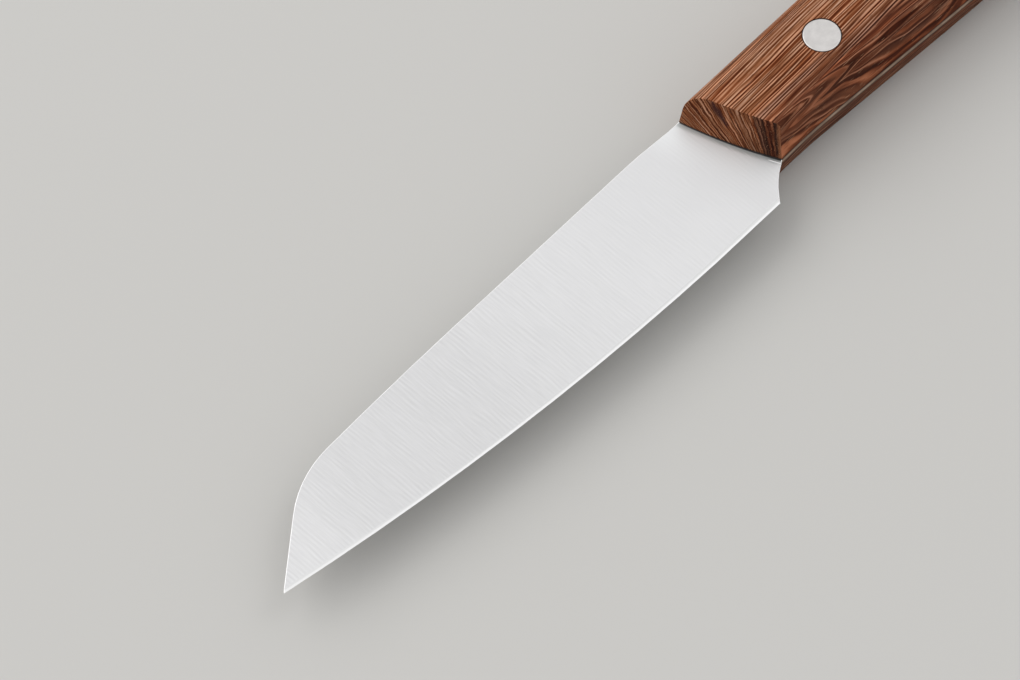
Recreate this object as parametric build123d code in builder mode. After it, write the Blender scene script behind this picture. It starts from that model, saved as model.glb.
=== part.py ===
from build123d import *
import os
from math import asin, atan2, cos, degrees, hypot, radians, sin, sqrt, tan

os.makedirs("parts", exist_ok=True)

# The knife lies on its right side: +X to the tip, +Y to the cutting edge, +Z up through the left side

# Origin on the flat underside of the grip
origin_back = 36.0          # behind the grip's front corner at the spine
origin_side = 9.6           # in from the spine

# Blade, seen from its left side
blade_length = 100.3        # grip's front corner to the tip
blade_depth = 21.5          # spine to heel
heel_lead = 0.1             # heel ahead of the grip's front corner
tip_drop = 12.65            # spine line to the tip
dip_share = 0.11            # share of the blade over which the spine dips to meet the grip
straight_share = 0.5        # share of the blade over which the spine is straight
clip_back = 15.4            # tip to the corner where the spine turns down
clip_drop = 0.75            # that corner below the spine line
clip_radius = 20.0
edge_straight = 6.0         # the cutting edge runs straight up to here, then in one arc to the tip
choil_radius = 17.0         # hollow between heel and grip
choil_back = 5.6            # where the hollow meets the grip, behind its front corner
choil_drop = 16.75          # and below the spine line

# Blade thickness and grinding
stock_thickness = 1.3       # tang
spine_step = 0.05           # how far the ground face lies below the tang at the spine
heel_shoulder = 0.46        # thickness behind the sharpened bevel, at the heel
tip_shoulder = 0.40         # and at the tip
bevel_angle = 18.0          # each side of the sharpened edge, in degrees
bevel_reach = 1.6           # deeper than the widest bevel
plunge_radius = 0.6         # hollow end of the ground face, along the grip's front
plunge_back = 0.4           # how far the grinding wheel reached back past the grip's front

# Grip: both scales and the tang share one outline
grip_length = 104.0         # front corner to butt, along the spine
grip_drop = 0.5             # the grip's back lies this far below the blade's spine line
grip_lead = 8.0             # the outline goes on this far ahead, inside the blade
lead_depth = 17.8           # and is this deep there
waist_share = 0.173         # share of its length where the belly's straight stretch starts
waist_depth = 16.85
swell_share = 0.428         # and where it ends
swell_depth = 18.4
butt_depth = 19.2           # spine to belly at the butt
butt_slant = 10.0           # belly side further back, in degrees
butt_spine_round = 9.0      # butt corner at the spine, seen from the side
butt_ease = 6.0             # butt corner at the belly: where its arc leaves the butt
butt_beak = 3.0             # and where it meets the belly
scale_thickness = 6.9
side_lean = 13.3            # how far the scales' belly walls lean in, in degrees
spine_round = 4.1           # rounding along spine and butt
belly_round = 1.0           # rounding along the belly
front_sweep = 5.7           # how far the belly end of the front lies back
front_radius = 85.0         # bow of the front
front_lean = 1.7            # how far the front leans back over one scale's thickness

# Rivets: a solid stud pressed into a hollow socket, heads ground flush
rivet_head = 6.0
rivet_head_height = 1.8
socket_diameter = 4.0
stud_diameter = 2.6
rivet_line = 8.9            # spine line to rivets
rivet_lead = 23.35          # front corner to the front rivet
rivet_tail = 26.0           # rear rivet to the butt; the middle rivet is halfway
stud_gap = 0.6              # room past the end of the stud, and past the end of the socket
stud_chamfer = 0.3
rivet_clearance = 0.04      # round heads and sockets
stud_clearance = 0.01       # round the stud, which is pressed in

overrun = 2.0               # how far cutting shapes run past what they cut

front_x = origin_back
spine_y = -origin_side
tang_bottom = scale_thickness
tang_top = scale_thickness + stock_thickness
left_face = tang_top + scale_thickness
middle_z = left_face / 2
middle_plane = Plane.XY.offset(middle_z)


def place(along, across, height=0):
    """A point by its distance from the grip's front corner, from the spine line and from the underside."""
    return (front_x + along, spine_y + across, height)


def circle_center(start, end, radius):
    """Centre of the circle of this radius through two points, on the right of the way from start to end."""
    chord_x = end[0] - start[0]
    chord_y = end[1] - start[1]
    chord = hypot(chord_x, chord_y)
    rise = sqrt(radius**2 - (chord / 2) ** 2) / chord
    return ((start[0] + end[0]) / 2 + chord_y * rise, (start[1] + end[1]) / 2 - chord_x * rise)


def on_circle(center, radius, angle):
    """The point of a circle at an angle in radians."""
    return (center[0] + radius * cos(angle), center[1] + radius * sin(angle))


def angle_to(center, point):
    """The angle in radians at which a point lies from a centre."""
    return atan2(point[1] - center[1], point[0] - center[0])


# The corner points of the blade
corner = place(0, grip_drop)
dip_end = place(blade_length * dip_share, 0)
bow_start = place(blade_length * straight_share, 0)
clip_corner = place(blade_length - clip_back, clip_drop)
tip = place(blade_length, tip_drop)
heel = place(heel_lead, blade_depth)
choil_end = place(-choil_back, choil_drop)
front_end = place(-front_sweep, choil_drop)
edge_drop = blade_depth - tip_drop
edge_run = blade_length - edge_straight
edge_radius = (edge_run**2 + edge_drop**2) / (2 * edge_drop)
edge_center = place(edge_straight, blade_depth - edge_radius, middle_z)
choil_center = circle_center(heel, choil_end, choil_radius)
front_center = circle_center(front_end, corner, front_radius)

# The outline that the scales and the tang share, seen from the left side
slant = radians(butt_slant)
butt_back = grip_length + butt_depth * tan(slant)
butt_top = place(-grip_length, grip_drop)
ease_start = place(butt_ease * sin(slant) - butt_back, butt_depth - butt_ease * cos(slant))
beak = place(butt_beak - butt_back, butt_depth)

with BuildLine() as belly:
    waist_start = place(-grip_length * waist_share, waist_depth)
    straight = Line(waist_start, place(-grip_length * swell_share, swell_depth))
    swell = TangentArc(straight @ 1, beak, tangent=straight % 1)
    waist = TangentArc(straight @ 0, place(grip_lead, lead_depth), tangent=-(straight % 0))

with BuildSketch() as grip_outline:
    with BuildLine():
        add(belly.line)
        butt = Line(butt_top, ease_start)
        TangentArc(butt @ 1, beak, tangent=butt % 1)
        Polyline(butt_top, place(grip_lead, grip_drop), waist @ 1)
    make_face()
    fillet(grip_outline.vertices().sort_by_distance(butt_top)[0], butt_spine_round)

# The room past the belly: cut back upwards, so that the scales' belly walls lean in
with BuildSketch() as past_belly:
    with BuildLine():
        add(belly.line)
        past_beak = Line(beak, swell @ 1 + (swell % 1) * overrun)
        past_lead = Line(waist @ 1, waist @ 1 + (waist % 1) * overrun)
        past_drop = spine_y + butt_depth + 2 * overrun
        Polyline(
            past_beak @ 1,
            ((past_beak @ 1).X, past_drop),
            ((past_lead @ 1).X, past_drop),
            past_lead @ 1,
        )
    make_face()

# What is cut away in front of the scales: their fronts bow forwards and lean back
sweep_start = angle_to(front_center, place(grip_lead + overrun, -overrun))
sweep_end = angle_to(front_center, place(-front_sweep, lead_depth + overrun))
lean_top = front_lean * (scale_thickness + overrun) / scale_thickness
front_reach = front_radius + grip_lead + front_sweep + overrun

with BuildPart() as front_cut:
    radial_plane = Plane(
        origin=front_center,
        x_dir=(cos(sweep_start), sin(sweep_start), 0),
        z_dir=(sin(sweep_start), -cos(sweep_start), 0),
    )
    with BuildSketch(radial_plane):
        Polygon(
            (front_radius, tang_bottom),
            (front_radius, tang_top),
            (front_radius - lean_top, left_face + overrun),
            (front_reach, left_face + overrun),
            (front_reach, -overrun),
            (front_radius - lean_top, -overrun),
            align=None,
        )
    revolve(axis=Axis(front_center, (0, 0, 1)), revolution_arc=degrees(sweep_end - sweep_start))

# The ground face: a plane that falls away from spine to edge and from grip to tip, with a hollow end
half_stock = stock_thickness / 2
face_drop = half_stock - spine_step
face_slope = (face_drop - heel_shoulder / 2) / blade_depth
face_taper = (face_drop - tip_shoulder / 2 - face_slope * tip_drop) / blade_length
wheel_radius = front_radius - plunge_back
wheel_center = (front_center[0] - front_x, front_center[1] - spine_y)
wheel_start = angle_to(wheel_center, (0, -overrun))
wheel_end = angle_to(wheel_center, (-front_sweep, blade_depth + overrun))
face_plane = Plane(
    origin=place(0, 0, middle_z + face_drop),
    x_dir=(1, 0, -face_taper),
    z_dir=(face_taper, face_slope, 1),
)

with BuildPart() as face_cut:
    with BuildSketch(face_plane):
        with BuildLine():
            wheel_line = ThreePointArc(
                on_circle(wheel_center, wheel_radius, wheel_start),
                on_circle(wheel_center, wheel_radius, (wheel_start + wheel_end) / 2),
                on_circle(wheel_center, wheel_radius, wheel_end),
            )
            Polyline(
                wheel_line @ 1,
                (blade_length + overrun, (wheel_line @ 1).Y),
                (blade_length + overrun, (wheel_line @ 0).Y),
                wheel_line @ 0,
            )
        make_face()
    extrude(amount=stock_thickness + overrun)
    fillet(face_cut.edges().filter_by(GeomType.CIRCLE).sort_by(Axis.Z)[0], plunge_radius)

# The sharpened bevel, straight by the heel and then round the edge's arc
bevel_rise = tan(radians(bevel_angle))
edge_turn = degrees(asin((edge_run + overrun) / edge_radius))
bevel_plane = Plane(origin=edge_center, x_dir=(0, 1, 0), z_dir=(1, 0, 0))

with BuildPart() as bevel_cut:
    with BuildSketch(bevel_plane):
        Polygon(
            (edge_radius - bevel_reach, bevel_reach * bevel_rise),
            (edge_radius + 2 * overrun, -2 * overrun * bevel_rise),
            (edge_radius + 2 * overrun, stock_thickness),
            (edge_radius - bevel_reach, stock_thickness),
            align=None,
        )
    bevel_section = bevel_cut.pending_faces[0]
    revolve(axis=Axis(edge_center, (0, 0, -1)), revolution_arc=edge_turn)
    extrude(to_extrude=bevel_section, amount=-(edge_straight + overrun))

# Where the rivets go
rivet_rear = grip_length - rivet_tail
rivet_backs = {"front": rivet_lead, "middle": (rivet_lead + rivet_rear) / 2, "rear": rivet_rear}
socket_hole = socket_diameter / 2 + rivet_clearance
head_hole = rivet_head / 2 + rivet_clearance

# Blade and tang, in one piece
choil_turn = overrun / choil_radius
choil_start = on_circle(choil_center, choil_radius, angle_to(choil_center, choil_end) - choil_turn)
choil_past = on_circle(choil_center, choil_radius, angle_to(choil_center, heel) + choil_turn)
clip_run = hypot(tip[0] - clip_corner[0], tip[1] - clip_corner[1])
past_share = 1 + overrun / clip_run
tip_past = (
    clip_corner[0] + (tip[0] - clip_corner[0]) * past_share,
    clip_corner[1] + (tip[1] - clip_corner[1]) * past_share,
)

with BuildPart() as blade:
    with BuildSketch(Plane.XY.offset(tang_bottom)):
        add(grip_outline.sketch)
    extrude(amount=stock_thickness)
    fillet(blade.edges().filter_by(Axis.Z).sort_by_distance(beak)[0], belly_round)
    with BuildSketch(Plane.XY.offset(tang_bottom)) as outline:
        with BuildLine():
            tang_back = Line((choil_start[0], corner[1]), corner)
            Spline(corner, dip_end, tangents=[(1, 0), (1, 0)])
            spine = Line(dip_end, bow_start)
            TangentArc(bow_start, clip_corner, tangent=spine % 1)
            Line(clip_corner, tip_past)
            edge_stock = TangentArc(place(edge_straight, blade_depth + overrun), tip_past, tangent=(1, 0))
            Line(edge_stock @ 0, choil_past)
            ThreePointArc(choil_past, choil_end, choil_start)
            Line(choil_start, tang_back @ 0)
        make_face()
        fillet(outline.vertices().sort_by_distance(clip_corner)[0], clip_radius)
    extrude(amount=stock_thickness)
    add(face_cut.part, mode=Mode.SUBTRACT)
    mirror(face_cut.part, about=middle_plane, mode=Mode.SUBTRACT)
    add(bevel_cut.part, mode=Mode.SUBTRACT)
    mirror(bevel_cut.part, about=middle_plane, mode=Mode.SUBTRACT)
    with Locations(*[place(-back, rivet_line, middle_z) for back in rivet_backs.values()]):
        Hole(socket_hole)
blade.part.label = "blade"
export_step(blade.part, "parts/blade.step")

# The two scales, mirror images of each other
def along_belly(edge):
    """Whether an edge of a scale's top face runs along the belly."""
    middle = edge.center()
    return middle.X > beak[0] and middle.Y > spine_y + waist_depth - 3 * belly_round


with BuildPart() as left_scale:
    with BuildSketch(Plane.XY.offset(tang_top)):
        add(grip_outline.sketch)
    extrude(amount=scale_thickness)
    rim = left_scale.faces().sort_by(Axis.Z)[-1].edges()
    fillet(rim - rim.filter_by(along_belly) - rim.sort_by(Axis.X)[-1:], spine_round)
    with BuildSketch(Plane.XY.offset(tang_top)):
        add(past_belly.sketch)
    extrude(amount=scale_thickness, taper=-side_lean, mode=Mode.SUBTRACT)
    rim = left_scale.faces().sort_by(Axis.Z)[-1].edges()
    fillet(rim.filter_by(along_belly), belly_round)
    add(front_cut.part, mode=Mode.SUBTRACT)
    with Locations(*[place(-back, rivet_line, left_face) for back in rivet_backs.values()]):
        CounterBoreHole(socket_hole, head_hole, rivet_head_height)
left_scale.part.label = "left_scale"
export_step(left_scale.part, "parts/left_scale.step")

with BuildPart() as right_scale:
    mirror(left_scale.part, about=middle_plane)
right_scale.part.label = "right_scale"
export_step(right_scale.part, "parts/right_scale.step")

# The rivets: the stud comes in from the left side, the socket from the right
shank_top = left_face - rivet_head_height
socket_top = shank_top - stud_gap
bore_floor = rivet_head_height + stud_gap
stud_end = bore_floor + stud_gap

for name, back in rivet_backs.items():
    with BuildPart() as stud:
        with BuildSketch(Plane(origin=place(-back, rivet_line, shank_top))):
            Circle(rivet_head / 2)
        extrude(amount=rivet_head_height)
        with BuildSketch(Plane(origin=place(-back, rivet_line, shank_top))):
            Circle(stud_diameter / 2)
        extrude(amount=-(shank_top - stud_end))
        chamfer(stud.faces().sort_by(Axis.Z)[0].edges(), stud_chamfer)
    stud.part.label = f"{name}_rivet_stud"
    export_step(stud.part, f"parts/{name}_rivet_stud.step")

    with BuildPart() as socket:
        with BuildSketch(Plane(origin=place(-back, rivet_line))):
            Circle(rivet_head / 2)
        extrude(amount=rivet_head_height)
        with BuildSketch(Plane(origin=place(-back, rivet_line, rivet_head_height))):
            Circle(socket_diameter / 2)
        extrude(amount=socket_top - rivet_head_height)
        with BuildSketch(Plane(origin=place(-back, rivet_line, bore_floor))):
            Circle(stud_diameter / 2 + stud_clearance)
        extrude(amount=socket_top - bore_floor, mode=Mode.SUBTRACT)
    socket.part.label = f"{name}_rivet_socket"
    export_step(socket.part, f"parts/{name}_rivet_socket.step")
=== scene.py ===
import math

import bmesh
import bpy
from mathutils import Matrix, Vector


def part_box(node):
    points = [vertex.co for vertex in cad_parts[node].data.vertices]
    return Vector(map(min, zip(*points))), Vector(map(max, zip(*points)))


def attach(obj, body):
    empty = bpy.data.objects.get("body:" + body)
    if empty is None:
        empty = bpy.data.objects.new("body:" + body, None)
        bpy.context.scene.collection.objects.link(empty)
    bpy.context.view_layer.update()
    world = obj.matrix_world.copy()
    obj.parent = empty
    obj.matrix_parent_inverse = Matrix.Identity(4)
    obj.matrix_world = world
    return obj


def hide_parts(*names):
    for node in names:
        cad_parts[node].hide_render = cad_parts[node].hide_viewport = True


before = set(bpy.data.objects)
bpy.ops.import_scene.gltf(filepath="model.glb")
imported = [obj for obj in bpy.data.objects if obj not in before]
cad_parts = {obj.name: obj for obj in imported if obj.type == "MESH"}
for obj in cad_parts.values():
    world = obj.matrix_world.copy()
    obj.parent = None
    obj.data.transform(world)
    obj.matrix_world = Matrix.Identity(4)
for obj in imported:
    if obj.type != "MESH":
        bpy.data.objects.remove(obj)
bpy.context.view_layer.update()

mm = 0.001
scene = bpy.context.scene
scene.view_settings.view_transform = "Standard"

mergeWithin = 0.001     # in mm: points closer than this become one
flatWithin = 0.3        # in degrees: triangles that meet at less become one face
gripFront = 36          # in mm, where the grip's front corner is
tangMiddle = 7.55       # in mm, how high the middle of blade and tang is
white = (1, 1, 1, 1)


def startMesh(nodeName):
    # a merged copy of a CAD node, with the triangles of its flat faces joined up again
    bm = bmesh.new()
    bm.from_mesh(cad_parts[nodeName].data)
    bmesh.ops.remove_doubles(bm, verts=bm.verts, dist=mergeWithin * mm)
    bmesh.ops.dissolve_limit(bm, angle_limit=math.radians(flatWithin), verts=bm.verts, edges=bm.edges,
                             delimit={"NORMAL"})
    return bm


def finishPiece(bm, name, materials, replaced, sharpOver):
    # shades a piece, puts it in the scene and lets it stand for its CAD node
    for face in bm.faces:
        face.smooth = True
    for edge in bm.edges:
        edge.smooth = edge.calc_face_angle(0) < math.radians(sharpOver)
    mesh = bpy.data.meshes.new(name)
    bm.to_mesh(mesh)
    bm.free()
    piece = bpy.data.objects.new(name, mesh)
    scene.collection.objects.link(piece)
    for material in materials:
        mesh.materials.append(material)
    normals = piece.modifiers.new("flatFacesStayFlat", "WEIGHTED_NORMAL")
    normals.keep_sharp = True
    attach(piece, "root")
    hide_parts(replaced)
    return piece


class Wire:
    # one value in a node tree: wires and numbers can be added, taken away, multiplied and divided
    def __init__(self, nodes, socket):
        self.nodes = nodes
        self.socket = socket

    def __add__(self, other):
        return self.nodes.maths("ADD", self, other)

    def __sub__(self, other):
        return self.nodes.maths("SUBTRACT", self, other)

    def __rsub__(self, other):
        return self.nodes.maths("SUBTRACT", other, self)

    def __mul__(self, other):
        return self.nodes.maths("MULTIPLY", self, other)

    def __truediv__(self, other):
        return self.nodes.maths("DIVIDE", self, other)

    def __rtruediv__(self, other):
        return self.nodes.maths("DIVIDE", other, self)

    def __pow__(self, other):
        return self.nodes.maths("POWER", self, other)

    __radd__ = __add__
    __rmul__ = __mul__


class Nodes:
    # a node tree, and the ways in which nodes are added to it
    def __init__(self, tree):
        self.tree = tree

    def plug(self, socket, value):
        if isinstance(value, Wire):
            self.tree.links.new(value.socket, socket)
        else:
            socket.default_value = value

    def node(self, kind, settings, inputs, output=0):
        made = self.tree.nodes.new(kind)
        for key, value in settings.items():
            if key == "stops":
                while len(made.color_ramp.elements) < len(value):
                    made.color_ramp.elements.new(1)
                for element, (position, shade) in zip(made.color_ramp.elements, value):
                    element.position = position
                    element.color = shade
            else:
                setattr(made, key, value)
        for key, value in inputs.items():
            self.plug(made.inputs[key], value)
        return Wire(self, made.outputs[output]) if made.outputs else made

    def maths(self, operation, first, second=0.0):
        return self.node("ShaderNodeMath", {"operation": operation}, {0: first, 1: second})

    def sine(self, turns):
        return self.maths("SINE", turns * (2 * math.pi))

    def size(self, value):
        return self.maths("ABSOLUTE", value)

    def point(self, x, y, z):
        return self.node("ShaderNodeCombineXYZ", {}, {0: x, 1: y, 2: z})

    def axes(self, vector):
        made = self.node("ShaderNodeSeparateXYZ", {}, {0: vector}).socket.node
        return [Wire(self, socket) for socket in made.outputs]

    def noise(self, at, scale, detail, roughness=0.5):
        return self.node("ShaderNodeTexNoise", {},
                         {"Vector": at, "Scale": scale, "Detail": detail, "Roughness": roughness})

    def grain(self, at, perMm, detail, roughness=0.5, push=(0, 0, 0)):
        # noise in cells of any length: so many per mm along each axis, and then pushed along
        spot = [axis * times + more if more else axis * times for axis, times, more in zip(at, perMm, push)]
        return self.noise(self.point(*spot), 1, detail, roughness)

    def ramp(self, value, stops):
        return self.node("ShaderNodeValToRGB", {"stops": stops}, {0: value})

    def step(self, value, low, high):
        # 0 below low, 1 above high, smooth between
        return self.node("ShaderNodeMapRange", {"interpolation_type": "SMOOTHSTEP"},
                         {"Value": value, "From Min": low, "From Max": high})

    def fall(self, value, low, high):
        # the other way round: 1 below low, 0 above high
        return 1 - self.step(value, low, high)

    def blend(self, share, first, second, how="MIX"):
        return self.node("ShaderNodeMix", {"data_type": "RGBA", "blend_type": how},
                         {0: share, 6: first, 7: second}, 2)

    def dim(self, shade, value):
        # a colour made darker or lighter all over
        return self.blend(1.0, shade, self.point(value, value, value), "MULTIPLY")

    def bump(self, height, depth, strength):
        # with its depth in mm
        return self.node("ShaderNodeBump", {},
                         {"Strength": strength, "Distance": depth * mm, "Height": height})


class Paint(Nodes):
    # a material, with its shader and the place in space that every one here reads
    def __init__(self, name):
        self.material = bpy.data.materials.new(name)
        self.material.use_nodes = True
        super().__init__(self.material.node_tree)
        self.shader = next(n for n in self.tree.nodes if n.type == "BSDF_PRINCIPLED")
        self.place = self.node("ShaderNodeTexCoord", {}, {}, "Object")

    def millimetres(self):
        # that place as x, y and z in mm
        return [axis * (1 / mm) for axis in self.axes(self.place)]

    def finish(self, **sockets):
        # baseColor goes to Base Color, specularIorLevel to Specular IOR Level
        for key, value in sockets.items():
            words = "".join(" " + letter if letter.isupper() else letter for letter in key)
            self.plug(self.shader.inputs[words.title().replace("Ior", "IOR")], value)
        return self.material


def colour(red, green, blue):
    # a screen colour, 0 to 255, as the numbers that a material takes
    def one(value):
        value /= 255
        return value / 12.92 if value <= 0.04045 else ((value + 0.055) / 1.055) ** 2.4
    return one(red), one(green), one(blue), 1


view = {
    "lens": 200, "sensor": 36,
    "at": (82.25, -1.67, 8.2),      # in mm
    "from": (399.7, 292.29, 742.7),
    "clip": (0.01, 20),             # in m
}
cameraData = bpy.data.cameras.new("camera")
cameraData.lens = view["lens"]
cameraData.sensor_width = view["sensor"]
cameraData.clip_start, cameraData.clip_end = view["clip"]
camera = bpy.data.objects.new("camera", cameraData)
camera.location = Vector(view["from"]) * mm
camera.rotation_euler = (Vector(view["at"]) - Vector(view["from"])).to_track_quat("-Z", "Y").to_euler()
scene.collection.objects.link(camera)
scene.camera = camera
print("camera placed")


studio = {
    "floorSize": 8, "floorDrop": 0.02,      # in m, and in mm under the knife
    "paper": colour(208, 207, 204), "fleck": (0.6, 0.6, 0.6, 1), "fleckShare": 0.05, "flecksPerM": 60,
    "paperRoughness": 0.9, "paperSpecular": 0.2,
    "sky": (0.66, 0.66, 0.66, 1), "seenSky": colour(236, 236, 236),
    "lampsFace": (0.04, 0, 0),              # in m
    "lamps": {
        "key": {"size": (2.4, 1.9), "away": 2.2, "azimuth": 302, "height": 50, "power": 18.5,
                "colour": (1, 0.985, 0.97)},
        "edge": {"size": (0.5, 0.5), "away": 1.3, "azimuth": 154, "height": 64, "power": 0.9,
                 "colour": (1, 1, 1)},
        "rim": {"size": (0.4, 0.3), "away": 1.3, "azimuth": 251, "height": 34, "power": 0.25,
                "colour": (1, 1, 1)},
    },
}

paint = Paint("floorPaper")
fleck = paint.noise(paint.place, studio["flecksPerM"], 3, 0.6)
paper = paint.blend(fleck * studio["fleckShare"], studio["paper"], studio["fleck"])
floorPaper = paint.finish(baseColor=paper, roughness=studio["paperRoughness"],
                          specularIorLevel=studio["paperSpecular"])
bm = bmesh.new()
bmesh.ops.create_grid(bm, x_segments=1, y_segments=1, size=studio["floorSize"] / 2)
floorMesh = bpy.data.meshes.new("floor")
bm.to_mesh(floorMesh)
bm.free()
floor = bpy.data.objects.new("floor", floorMesh)
floor.location.z = -studio["floorDrop"] * mm
floorMesh.materials.append(floorPaper)
scene.collection.objects.link(floor)

world = bpy.data.worlds.new("studio")
scene.world = world
world.use_nodes = True
sky = Nodes(world.node_tree)
sky.tree.nodes.clear()
rays = sky.node("ShaderNodeLightPath", {}, {}).socket.node
direct, mirrored, through = [Wire(sky, rays.outputs[name])
                             for name in ("Is Camera Ray", "Is Glossy Ray", "Is Transmission Ray")]
lit = sky.node("ShaderNodeBackground", {}, {"Color": studio["sky"]})
seen = sky.node("ShaderNodeBackground", {}, {"Color": studio["seenSky"]})
either = sky.node("ShaderNodeMixShader", {}, {0: direct + mirrored + through, 1: lit, 2: seen})
sky.node("ShaderNodeOutputWorld", {}, {"Surface": either})

for name, lamp in studio["lamps"].items():
    data = bpy.data.lights.new(name + "Softbox", "AREA")
    data.shape = "RECTANGLE"
    data.size, data.size_y = lamp["size"]
    data.energy = lamp["power"]
    data.color = lamp["colour"]
    softbox = bpy.data.objects.new(name + "Softbox", data)
    turn, rise = math.radians(lamp["azimuth"]), math.radians(lamp["height"])
    way = Vector((math.cos(turn) * math.cos(rise), math.sin(turn) * math.cos(rise), math.sin(rise)))
    softbox.location = way * lamp["away"] + Vector(studio["lampsFace"])
    softbox.rotation_euler = (-way).to_track_quat("-Z", "Y").to_euler()
    scene.collection.objects.link(softbox)
print("studio lit")


# lengths in mm, and a fade runs from its first number to its second; a noise has its cells per mm
# along x, y and z, and where it is the same at every z, the place of its slice as third number
steel = {
    "grey": colour(227, 227, 228), "tone": 0.955, "roughness": 0.42, "fineRough": 0.10, "cloudRough": 0.06,
    "broad": (2.7, 0.12, 0.05), "fine": (5.5, 0.35, 0.2), "slip": (0.35, 0.10, 4.0), "worn": (0.5, 0.30, 9.0),
    "cloudsPerM": 40, "wandersPerM": 90, "wander": 0.2,
    "comb": {"perMm": 1.42, "slip": 1.6, "worn": (0.25, 0.75)},        # the regular grinding lines
    "broadShare": 0.05, "fineShare": 0.14, "combShare": 0.036, "cloudShare": 0.03,
    "fineDepth": 0.003, "bump": 0.5,
    "marks": {"fade": (gripFront, gripFront + 55), "byGrip": 0.35},    # the lines show more towards the tip
    # duller from the middle on, less so at the tip; lighter on the edge's side by the heel
    "dip": {"fade": (60, 100), "endFade": (114, 130), "endShare": 0.55, "share": 0.08},
    "lift": {"fade": (0, 9), "endFade": (50, 72), "share": 0.02},
    "front": {"corner": (36.0, -9.1), "end": (30.3, 7.15), "bow": 85.0},    # the line where the grip begins
    "paintedLightByGrip": {"fade": (1.0, 8.0), "share": 0.10, "rough": 0.12, "tint": (0.985, 1, 1, 1)},
    "ledgeWithPaintedGlint": {"at": 0.55, "wander": 0.4, "fade": (0.03, 0.16), "heelFade": (5.2, 5.8), "rise": 20},
    "grime": {"colour": colour(30, 24, 22), "fade": (0.07, 0.252), "share": 0.95},
    "paintedShadeBesideGrip": {"colour": colour(140, 148, 146), "ragged": 0.5, "fade": (0.35, 1.2), "share": 0.52},
    "rim": {"rubsPerM": 500, "ramp": [(0.3, colour(246, 246, 247)), (0.7, colour(255, 255, 255))],
            "roughness": 0.30, "rubRough": 0.10},
    "edge": {"stone": (4, 1.5, 1), "inner": 0.63, "outer": 0.17, "ragged": 0.05, "outerFade": (0.06, 0.15),
             "rise": 0.05, "riseFade": (60, 125), "tipRise": 0.06, "tipFade": (100, 128),
             "stoneShare": 0.05, "roughness": 0.38, "stoneRough": 0.1},
    "tang": {"sootsPerM": 300, "ramp": [(0.3, colour(132, 110, 92)), (0.5, colour(168, 144, 124)),
                                        (0.7, colour(206, 184, 164))],
             "handling": colour(70, 48, 38), "ragged": 0.2, "fade": (0.24, 0.50), "share": 0.85,
             "roughness": 0.42, "sootRough": 0.2},
    "rimEase": 0.13, "choilEase": 0.10, "sharpOver": 15,      # sharp in degrees
    # how upright the normal is: of a narrow face, a side, the tang's edge, and the sharpened bevel
    "narrowUnder": 0.3, "sideOver": 0.6, "tangUnder": 0.5, "bevelOver": 0.9, "bevelUnder": 0.985,
    "bevelReach": 0.02, "rimUnder": 4, "choilOver": 7.1, "choilLength": 6,
    "spineTangBack": 0.1, "bellyTangBack": 5.5,               # behind the grip's front corner
}


def bowMiddle(start, end, radius):
    # the middle of the circle that a bowed line from start to end is part of
    chord = Vector(end) - Vector(start)
    rise = math.sqrt(radius ** 2 - chord.length_squared / 4) / chord.length
    return (Vector(start) + Vector(end)) / 2 + Vector((-chord.y, chord.x)) * rise


# ground faces: faint lines across the blade, broad, fine and regular ones, all wandering a little
paint = Paint("bladeSteel")
x, y, z = paint.millimetres()
wander = paint.noise(paint.place, steel["wandersPerM"], 1) * steel["wander"]
broad = paint.grain((x + wander, y, z), steel["broad"], 1)
fine = paint.grain((x + wander, y, z), steel["fine"], 2, 0.6)
slip = paint.grain((x, y, 1), steel["slip"], 1)
worn = paint.grain((x, y, 1), steel["worn"], 1)
cloud = paint.noise(paint.place, steel["cloudsPerM"], 2)
combing, marks = steel["comb"], steel["marks"]
comb = paint.sine(x * combing["perMm"] + slip * combing["slip"]) * paint.step(worn, *combing["worn"])
marked = marks["byGrip"] + paint.step(x, *marks["fade"]) * (1 - marks["byGrip"])
dull, light = steel["dip"], steel["lift"]
dip = paint.step(x, *dull["fade"]) - paint.step(x, *dull["endFade"]) * dull["endShare"]
lift = paint.step(y, *light["fade"]) * paint.fall(x, *light["endFade"])

# along the grip's front: painted light that lifts the metal where the wood's dark reflection falls, a painted
# glint on a pale ledge by the heel, painted shade and reflection in grey, and dirt in the joint
front = steel["front"]
frontMiddle = bowMiddle(front["corner"], front["end"], front["bow"])
fromFront = ((x - frontMiddle.x) ** 2 + (y - frontMiddle.y) ** 2) ** 0.5 - front["bow"]
bright, glintLedge, paintedShadeBesideGrip, grime = steel["paintedLightByGrip"], steel["ledgeWithPaintedGlint"], steel["paintedShadeBesideGrip"], steel["grime"]
# painted light: lifts the steel near the grip, where the dark wood's reflection falls, and takes the red of
# that reflection out
paintedLightByGrip = paint.fall(fromFront, *bright["fade"])
# a painted glint: a thin line by the heel blended to white, over a raised ledge in the bump
ledgeWithPaintedGlint = paint.fall(paint.size(fromFront - glintLedge["at"] + (slip - 0.5) * glintLedge["wander"]), *glintLedge["fade"])
ledgeWithPaintedGlint = ledgeWithPaintedGlint * paint.step(y, *glintLedge["heelFade"])
# painted shade and reflection: a grey band along the grip's front
paintedShadeBesideGripMask = paint.fall(fromFront + (fine - 0.5) * paintedShadeBesideGrip["ragged"], *paintedShadeBesideGrip["fade"])
joint = paint.fall(fromFront, *grime["fade"])

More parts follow.
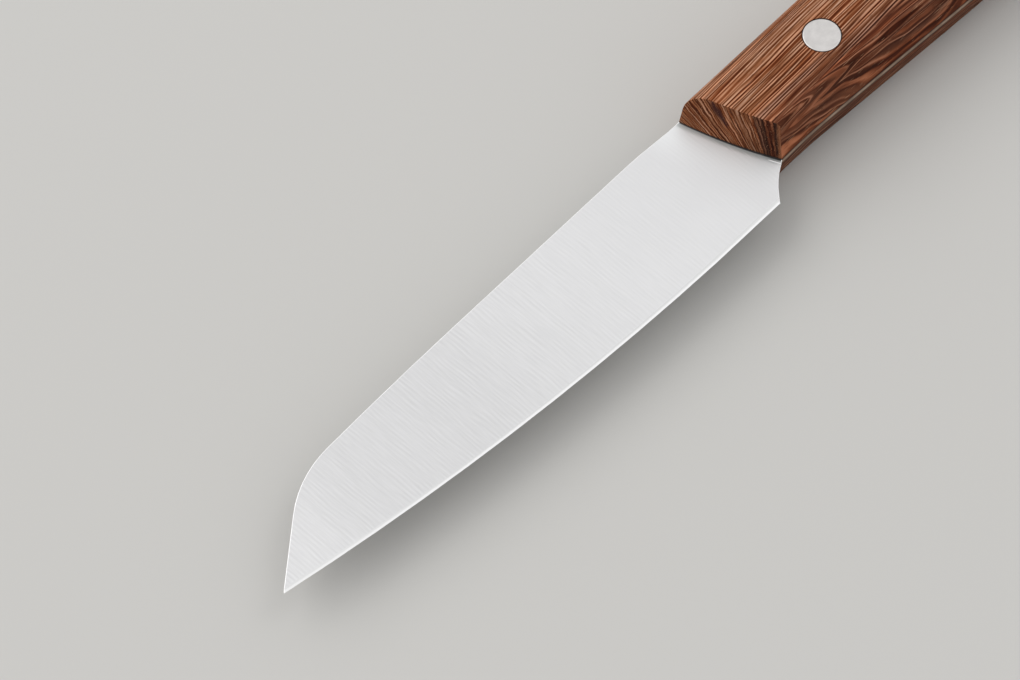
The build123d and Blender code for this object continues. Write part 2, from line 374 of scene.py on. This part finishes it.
lines = (broad - 0.5) * steel["broadShare"] + (fine - 0.5) * steel["fineShare"] + comb * steel["combShare"]
tone = (steel["tone"] + lines * marked + (cloud - 0.5) * steel["cloudShare"]
        - dip * dull["share"] + lift * light["share"] + paintedLightByGrip * bright["share"])
bladeTone = paint.dim(steel["grey"], tone)
bladeTone = paint.blend(paintedShadeBesideGripMask * paintedShadeBesideGrip["share"], bladeTone, paintedShadeBesideGrip["colour"])
bladeTone = paint.blend(paintedLightByGrip, bladeTone, bright["tint"], "MULTIPLY")      # no tint from the wood beside it
bladeTone = paint.blend(ledgeWithPaintedGlint, bladeTone, white)
bladeTone = paint.blend(joint * grime["share"], bladeTone, grime["colour"])
rough = (steel["roughness"] + (fine - 0.5) * steel["fineRough"] + (cloud - 0.5) * steel["cloudRough"]
         + paintedLightByGrip * bright["rough"])
bladeSteel = paint.finish(baseColor=bladeTone, metallic=1.0, roughness=rough,
                          normal=paint.bump(fine + ledgeWithPaintedGlint * glintLedge["rise"], steel["fineDepth"], steel["bump"]))

# the eased corners all round the blade, near white: a painted highlight, brighter than the faces
paint, rim = Paint("rimWithPaintedHighlight"), steel["rim"]
rub = paint.noise(paint.place, rim["rubsPerM"], 2)
rimWithPaintedHighlight = paint.finish(baseColor=paint.ramp(rub, rim["ramp"]), metallic=1.0,
                         roughness=rim["roughness"] + rub * rim["rubRough"])

# the sharpened edge, with a painted highlight: brightest along its outer half, and a little brighter towards
# the tip
paint, honingAndShine = Paint("edgeWithPaintedHighlight"), steel["edge"]
x, y, z = paint.millimetres()
stone = paint.grain((x, y, z), honingAndShine["stone"], 2, 0.6)
outer = paint.fall(paint.size(z - tangMiddle) + (stone - 0.5) * honingAndShine["ragged"], *honingAndShine["outerFade"])
edgeToneAndHighlight = honingAndShine["inner"] + outer * honingAndShine["outer"]
edgeToneAndHighlight = edgeToneAndHighlight * (1 + paint.step(x, *honingAndShine["riseFade"]) * honingAndShine["rise"])
edgeToneAndHighlight = edgeToneAndHighlight + (stone - 0.5) * honingAndShine["stoneShare"]
edgeToneAndHighlight = edgeToneAndHighlight + (1 - outer) * paint.step(x, *honingAndShine["tipFade"]) * honingAndShine["tipRise"]
edgeWithPaintedHighlight = paint.finish(baseColor=paint.dim(white, edgeToneAndHighlight), metallic=1.0,
                         roughness=honingAndShine["roughness"] + stone * honingAndShine["stoneRough"])

# the tang's edge between the scales: dull, with painted shade along both sides, where the scales meet it
paint, tang = Paint("tangSteel"), steel["tang"]
soot = paint.noise(paint.place, tang["sootsPerM"], 4, 0.6)
fromMiddle = paint.size(paint.millimetres()[2] - tangMiddle)
paintedShadeMask = paint.step(fromMiddle + (soot - 0.5) * tang["ragged"], *tang["fade"]) * tang["share"]
tangTone = paint.blend(paintedShadeMask, paint.ramp(soot, tang["ramp"]), tang["handling"])
tangSteel = paint.finish(baseColor=tangTone, metallic=1.0,
                         roughness=tang["roughness"] + soot * tang["sootRough"])

looks = [bladeSteel, tangSteel, rimWithPaintedHighlight, edgeWithPaintedHighlight]
bm = startMesh("blade")
rims = {"rimEase": [], "choilEase": []}
for edge in bm.edges:
    tilts = sorted(abs(face.normal.z) for face in edge.link_faces)
    middle = (edge.verts[0].co + edge.verts[1].co) / 2 / mm
    if len(tilts) == 2 and tilts[0] < steel["narrowUnder"] and tilts[1] > steel["sideOver"]:
        if middle.x > gripFront and middle.y < steel["rimUnder"]:
            rims["rimEase"].append(edge)
        elif gripFront - steel["choilLength"] < middle.x < gripFront and middle.y > steel["choilOver"]:
            rims["choilEase"].append(edge)
for key, edges in rims.items():
    eased = bmesh.ops.bevel(bm, geom=edges, offset=steel[key] * mm, segments=3, profile=0.5,
                            affect="EDGES", material=-1)
    for face in eased["faces"]:
        face.material_index = looks.index(rimWithPaintedHighlight)
for face in bm.faces:
    middle = face.calc_center_median() / mm
    upright = abs(face.normal.z)
    back = steel["bellyTangBack"] if middle.y > 0 else steel["spineTangBack"]
    offMiddle = min(abs(v.co.z / mm - tangMiddle) for v in face.verts)
    if upright < steel["tangUnder"] and middle.x < gripFront - back:
        face.material_index = looks.index(tangSteel)
    elif steel["bevelOver"] < upright < steel["bevelUnder"] and offMiddle < steel["bevelReach"]:
        face.material_index = looks.index(edgeWithPaintedHighlight)
bladePiece = finishPiece(bm, "groundBlade", looks, "blade", steel["sharpOver"])
print("blade made", len(bladePiece.data.polygons))


# lengths and noises as for the steel, across the grip from its spine and up from its scale's flat back
wood = {
    "spine": -9.6, "halfTang": 0.65, "thickness": 6.9,
    "endTurn": (0.55, 0.85),                    # how far forward a face looks where it becomes the end cut
    "wobble": (0.03, 0.12, 0.12), "fray": (0.2, 0.9, 0.9), "frayShare": 0.7,
    # the grain's lines on the grip's front: how they lean, straighten up, and widen by the spine
    "fanLean": 1.127, "fanTurn": 0.0617, "widenUnder": 2.5, "widen": 0.2,
    "grainTilt": 0.03, "tiltMiddle": 26,
    # the pointed figure of the belly wall: lines per mm of height, and how it comes and goes along the grip
    "apexHeight": 5.0, "apexRing": 14.9, "apexWobble": 3, "upperArm": 0.62, "lowerArm": 0.32,
    "figureSwing": 1.8, "figureLength": 90, "figureMiddle": 13,
    "drift": (0.07, 3.1, 0.2), "driftShare": 1.6,
    "wallLean": 0.236, "wallPlace": 16.5, "wallFade": (15.1, 16.2), "wallCrowding": 1.3,
    "bellyFade": (11.5, 16.0), "bellyRagged": 6,
    # what the rings draw, on the flat side with what the end cut adds to it, and on the wall
    "ringWobble": 1.1, "bands": (0.014, 0.8, 1.7), "bandPush": 3, "uneven": (0.03, 1.1, 5.2),
    "patches": (0.13, 1.9), "patchDepth": 8.4, "fibres": 0.10, "fibreDepth": (0.05, 0.3),
    "pale": {"pitch": 0.52, "uneven": 2.6, "sharpness": 1.6, "middle": 0.40, "patchesOver": 0.26},
    "dark": {"start": 0.3, "uneven": 2.4, "sharpness": 3, "patchesUnder": 1.4},
    "fanFigure": {"paleShare": (1.8, -1.3), "darkShare": (0.08, 0.40), "fibreShare": (0.66, 0.36),
                  "bandShare": (0.28, -0.20), "darkPerMm": (1.42, -0.12), "fibresPerMm": (3.4, -0.9),
                  "broken": (0, 0.9)},
    "wallFigure": {"paleShare": 1.1, "darkShare": 0.15, "fibreShare": 0.55, "bandShare": 0.55,
                   "darkPerMm": 1.42, "fibresPerMm": 3.4, "broken": 0},
    "tone": 0.516, "endTone": 0.03,
    "quiet": [(0.20, colour(74, 33, 13)), (0.32, colour(98, 48, 22)), (0.42, colour(124, 72, 43)),
              (0.49, colour(140, 88, 58)), (0.56, colour(158, 106, 75)), (0.66, colour(181, 133, 104)),
              (0.82, colour(206, 160, 132))],
    "flame": [(0.20, colour(52, 24, 13)), (0.34, colour(74, 37, 22)), (0.43, colour(90, 50, 33)),
              (0.50, colour(103, 61, 42)), (0.57, colour(120, 73, 51)), (0.66, colour(144, 95, 71)),
              (0.80, colour(177, 126, 100))],
    "warmth": (0.04, 0.8, 12.0),
    "warm": {"tint": (1.16, 0.90, 0.72, 1), "fade": (0.44, 0.66), "share": 0.6, "bellyMore": 0.4},
    "cool": {"tint": (0.84, 0.89, 1.02, 1), "fade": (0.34, 0.50), "share": 0.3, "bellyMore": 0.7},
    # marks on the end cut: it is darker all over, with painted shade towards the belly and down towards the
    # tang, and has dark bands, a lighter corner and a stain
    "endDarkAndShade": {"share": 0.18, "bellyMore": 0.30, "slant": 1.2, "fade": (4, 14)},
    "endBands": [(7.1, 0.22, 0.45), (10.9, 0.40, 0.6), (12.0, 0.42, 0.6), (14.2, 0.70, 0.6)],
    "endBandRagged": 0.5, "endBandCore": 0.3,       # each band is its place, half width and share
    "lighterCorner": {"colour": colour(150, 96, 64), "ragged": 0.7, "fade": (15.95, 16.35), "share": 0.5},
    "stain": {"colour": colour(48, 26, 28), "ring": 4.1, "height": 5.0, "flatness": 0.38, "ragged": 1.4,
              "fade": (0.35, 1.1), "frontFade": (10, 20), "share": 0.85},
    "soot": colour(34, 20, 15),
    "pores": {"perMm": (0.22, 6.5, 6.5), "fade": (0.66, 0.74), "share": 0.45,
              "colour": colour(205, 158, 124)},
    "specks": {"perMm": (0.5, 4.5, 4.5), "fade": (0.58, 0.70), "share": 0.5},
    "seam": {"fade": (0.02, 0.22), "share": 0.6},
    "rivets": {"first": (12.65, -0.7), "pitch": 27.325, "fade": (3.08, 3.24), "share": 0.85,
               "rearFade": (-58, -54)},             # no ring behind the rear rivet
    "toneRise": 0.7, "poreDrop": 0.3, "depth": 0.05, "bump": 0.55, "roughness": 0.58, "fibreRough": 0.16,
    "specular": 0.07,
}


def woodPaint(name, side, shift, tint):
    # solid wood: one field of growth lines in space, so each face shows its own cut through them
    paint = Paint(name)
    x, y, z = paint.millimetres()
    across = y - wood["spine"]
    high = (z - tangMiddle) * side - wood["halfTang"]
    forward = paint.axes(paint.node("ShaderNodeTexCoord", {}, {}, "Normal"))[0]
    endCut = paint.step(paint.size(forward), *wood["endTurn"])
    along = (shift, 0, 0)

    wobble = paint.grain((x, across, high), wood["wobble"], 2, push=along) - 0.5
    down = wood["thickness"] - high
    fan = across - (x - wood["tiltMiddle"]) * wood["grainTilt"] - down * wood["fanLean"]
    fan = fan / (1 - down * wood["fanTurn"])
    fan = fan - paint.maths("MINIMUM", fan - wood["widenUnder"], 0.0) * wood["widen"]
    fray = paint.grain((x, across, high), wood["fray"], 3, 0.65, (0, 0, shift)) - 0.5
    fan = fan + fray * endCut * wood["frayShare"]
    inward = across + high * wood["wallLean"]
    onWall = paint.step(inward, *wood["wallFade"]) * (1 - endCut)
    fromApex = high - wood["apexHeight"] + wobble * wood["apexWobble"]
    above = paint.maths("MAXIMUM", fromApex, 0.0)
    drift = paint.grain((x, 1, high), wood["drift"], 2, push=along) - 0.5
    swing = paint.sine((x - wood["figureMiddle"]) / wood["figureLength"]) * wood["figureSwing"]
    wall = (wood["apexRing"] + above * (wood["upperArm"] + wood["lowerArm"]) - fromApex * wood["lowerArm"]
            + swing + drift * wood["driftShare"] + (inward - wood["wallPlace"]) * wood["wallCrowding"])

    def figure(ring, paleShare, darkShare, fibreShare, bandShare, darkPerMm, fibresPerMm, broken):
        # the lines that one field of growth rings makes: pale and dark ones, fibres and broad bands
        pale, dark, (depth, brokenDepth) = wood["pale"], wood["dark"], wood["fibreDepth"]
        ring = ring + wobble * wood["ringWobble"]
        bands = paint.grain((x, ring, 1), wood["bands"], 1, push=(0, shift * wood["bandPush"], 0))
        uneven = paint.grain((x, ring, 1), wood["uneven"], 2, 0.55, along)
        patchCells = (*wood["patches"], broken)
        patches = paint.grain((x, ring, high), patchCells, 2, 0.6, (shift, 0, wood["patchDepth"]))
        fibreCells = (wood["fibres"], fibresPerMm, depth + broken * brokenDepth)
        fibres = paint.grain((x, ring, high), fibreCells, 1.2, 0.6, along)
        paleTurns = ring / pale["pitch"] + uneven * pale["uneven"]
        darkTurns = ring * darkPerMm + uneven * dark["uneven"] + dark["start"]
        paleLines = (paint.sine(paleTurns) * 0.5 + 0.5) ** pale["sharpness"] - pale["middle"]
        darkLines = (0.5 - paint.sine(darkTurns) * 0.5) ** dark["sharpness"]
        tone = (paleLines * (patches - pale["patchesOver"]) * paleShare
                - darkLines * (dark["patchesUnder"] - patches) * darkShare
                + (fibres - 0.5) * fibreShare + (bands - 0.5) * bandShare)
        return tone, bands, patches, fibres

    fanFigure = {key: flat + endCut * more for key, (flat, more) in wood["fanFigure"].items()}
    fanTone, bands, patches, fibres = figure(fan, **fanFigure)
    wallTone = figure(wall, **wood["wallFigure"])[0]
    tone = wood["tone"] + endCut * wood["endTone"] + fanTone + (wallTone - fanTone) * onWall
    belly = paint.step(inward + (bands - 0.5) * wood["bellyRagged"], *wood["bellyFade"])
    wash = paint.blend(belly, paint.ramp(tone, wood["quiet"]), paint.ramp(tone, wood["flame"]))
    field = fan + (wall - fan) * onWall
    warmth = paint.grain((x, field, 1), wood["warmth"], 2, push=along)
    warm, cool = wood["warm"], wood["cool"]
    warmed = paint.step(warmth, *warm["fade"]) * (warm["share"] + belly * warm["bellyMore"])
    cooled = paint.fall(warmth, *cool["fade"]) * (cool["share"] + belly * cool["bellyMore"])
    wash = paint.blend(warmed, wash, warm["tint"], "MULTIPLY")
    wash = paint.blend(cooled, wash, cool["tint"], "MULTIPLY")
    # the tint: painted shade on the lower scale, white on the upper one
    wash = paint.blend(1.0, wash, tint, "MULTIPLY")

    # the end cut
    shade, lighterCorner, stain = wood["endDarkAndShade"], wood["lighterCorner"], wood["stain"]
    # painted shade: darker towards the belly and down towards the tang, on top of the end grain's own darker
    # tone
    paintedShadeByBelly = paint.step(across - high * shade["slant"], *shade["fade"])
    wash = paint.dim(wash, 1 - endCut * (shade["share"] + paintedShadeByBelly * shade["bellyMore"]))
    for middle, width, share in wood["endBands"]:
        fromBand = paint.size(fan - middle) + (patches - 0.5) * wood["endBandRagged"]
        band = paint.fall(fromBand, width * wood["endBandCore"], width)
        wash = paint.blend(band * endCut * (patches + 0.5) * share, wash, wood["soot"])
    # a lighter band along the front corner by the belly
    worn = paint.step(inward + (patches - 0.5) * lighterCorner["ragged"], *lighterCorner["fade"]) * endCut
    wash = paint.blend(worn * lighterCorner["share"], wash, lighterCorner["colour"])
    fromStain = ((fan - stain["ring"]) ** 2 + ((high - stain["height"]) * stain["flatness"]) ** 2) ** 0.5
    stained = paint.fall(fromStain + (patches - 0.5) * stain["ragged"], *stain["fade"])
    stained = stained * endCut * paint.step(x, *stain["frontFade"])
    wash = paint.blend(stained * stain["share"], wash, stain["colour"])

    # pale pores and dark specks all over
    pores, specks = wood["pores"], wood["specks"]
    poreMask = paint.step(paint.grain((x, across, high), pores["perMm"], 1, push=along), *pores["fade"])
    wash = paint.blend(poreMask * pores["share"], wash, pores["colour"])
    speckled = paint.grain((x, across, high), specks["perMm"], 2, 0.6, (0, shift, 0))
    wash = paint.blend(paint.step(speckled, *specks["fade"]) * specks["share"], wash, wood["soot"])

    # dirt in the joint along the tang, and a painted shadow line round the rivets
    rivets = wood["rivets"]
    firstX, firstY = rivets["first"]
    seam = paint.fall(high, *wood["seam"]["fade"]) * wood["seam"]["share"]
    fromRivet = (paint.maths("PINGPONG", x - firstX, rivets["pitch"] / 2) ** 2 + (y - firstY) ** 2) ** 0.5
    rivetShadowRings = paint.fall(fromRivet, *rivets["fade"]) * paint.step(x, *rivets["rearFade"]) * rivets["share"]
    wash = paint.blend(paint.maths("MAXIMUM", seam, rivetShadowRings), wash, wood["soot"])
    height = tone * wood["toneRise"] - poreMask * wood["poreDrop"]
    return paint.finish(baseColor=wash, roughness=wood["roughness"] + fibres * wood["fibreRough"],
                        specularIorLevel=wood["specular"],
                        normal=paint.bump(height, wood["depth"], wood["bump"]))


leftWood = woodPaint("leftGripWood", 1, 0.0, white)
# the right scale lies lower, in the shade: its tint is painted shade
rightWoodPaintedShade = woodPaint("rightGripWoodPaintedShade", -1, 5.3, (0.89, 0.95, 0.96, 1))

grip = {
    "frontEase": 0.12, "frontLength": 9, "tangReach": 1.0, "sharpOver": 30,
    "frontOver": 0.85, "besideUnder": 0.5,      # how far forward the front looks, and the faces beside it
}
for side, material in (("left", leftWood), ("right", rightWoodPaintedShade)):
    bm = startMesh(side + "_scale")
    front = []
    for edge in bm.edges:
        if len(edge.link_faces) != 2:
            continue
        beside, ahead = sorted(face.normal.x for face in edge.link_faces)
        middle = (edge.verts[0].co + edge.verts[1].co) / 2 / mm
        atFront = middle.x > gripFront - grip["frontLength"]
        offTang = abs(middle.z - tangMiddle) > grip["tangReach"]
        if atFront and offTang and ahead > grip["frontOver"] and beside < grip["besideUnder"]:
            front.append(edge)
    bmesh.ops.bevel(bm, geom=front, offset=grip["frontEase"] * mm, segments=3, profile=0.5,
                    affect="EDGES", material=-1)
    piece = finishPiece(bm, side + "GripScale", [material], side + "_scale", grip["sharpOver"])
    print(side, "scale made", len(piece.data.polygons), "front edges", len(front))


rivet = {
    "across": 6.0, "headHeight": 1.8, "ease": 0.10, "cornerShare": 0.3,       # a share of the ease
    "stem": 1.3, "stemEase": 0.3, "sleeve": 2.0, "bore": 1.31, "boreFloor": 2.4, "sides": 96, "sharpOver": 50,
    "smearsPerM": 700, "ramp": [(0.3, colour(209, 206, 204)), (0.7, colour(223, 220, 218))],
    "roughness": 0.26, "smearRough": 0.12, "depth": 0.002, "bump": 0.5,
}
paint = Paint("rivetSteel")
smear = paint.noise(paint.place, rivet["smearsPerM"], 3, 0.6)
rivetSteel = paint.finish(baseColor=paint.ramp(smear, rivet["ramp"]), metallic=1.0,
                          roughness=rivet["roughness"] + smear * rivet["smearRough"],
                          normal=paint.bump(smear, rivet["depth"], rivet["bump"]))


def headProfile(face, inward):
    # a head from its middle out: the flat face, the eased corner and the straight rim
    half, ease = rivet["across"] / 2, rivet["ease"]
    corner = ease * rivet["cornerShare"]
    return [(0, face), (half - ease * 2, face), (half - ease, face), (half - corner, face + corner * inward),
            (half, face + ease * inward), (half, face + rivet["headHeight"] * inward)]


def turnedPiece(name, node, profile):
    # spins a profile of (radius, height) points round the node's own middle line
    low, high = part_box(node)
    centre = Vector(((low.x + high.x) / 2, (low.y + high.y) / 2, 0))
    bm = bmesh.new()
    points = [bm.verts.new(centre + Vector((radius, 0, height)) * mm) for radius, height in profile]
    edges = [bm.edges.new(pair) for pair in zip(points, points[1:])]
    bmesh.ops.spin(bm, geom=points + edges, cent=centre, axis=(0, 0, 1), angle=2 * math.pi,
                   steps=rivet["sides"], use_merge=True)
    bmesh.ops.remove_doubles(bm, verts=bm.verts, dist=mergeWithin * mm)
    bmesh.ops.recalc_face_normals(bm, faces=bm.faces)
    finishPiece(bm, name, [rivetSteel], node, rivet["sharpOver"])


for place in ("front", "middle", "rear"):
    low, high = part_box(place + "_rivet_stud")
    top, tail = high.z / mm, low.z / mm
    stem = rivet["stem"]
    stud = headProfile(top, -1) + [(stem, top - rivet["headHeight"]), (stem, tail + rivet["stemEase"]),
                                   (stem - rivet["stemEase"], tail), (0, tail)]
    turnedPiece(place + "Stud", place + "_rivet_stud", stud)
    low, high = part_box(place + "_rivet_socket")
    foot, lip = low.z / mm, high.z / mm
    sleeve, bore, boreFloor = rivet["sleeve"], rivet["bore"], foot + rivet["boreFloor"]
    socket = headProfile(foot, 1) + [(sleeve, foot + rivet["headHeight"]), (sleeve, lip), (bore, lip),
                                     (bore, boreFloor), (0, boreFloor)]
    turnedPiece(place + "Socket", place + "_rivet_socket", socket)
print("rivets made")
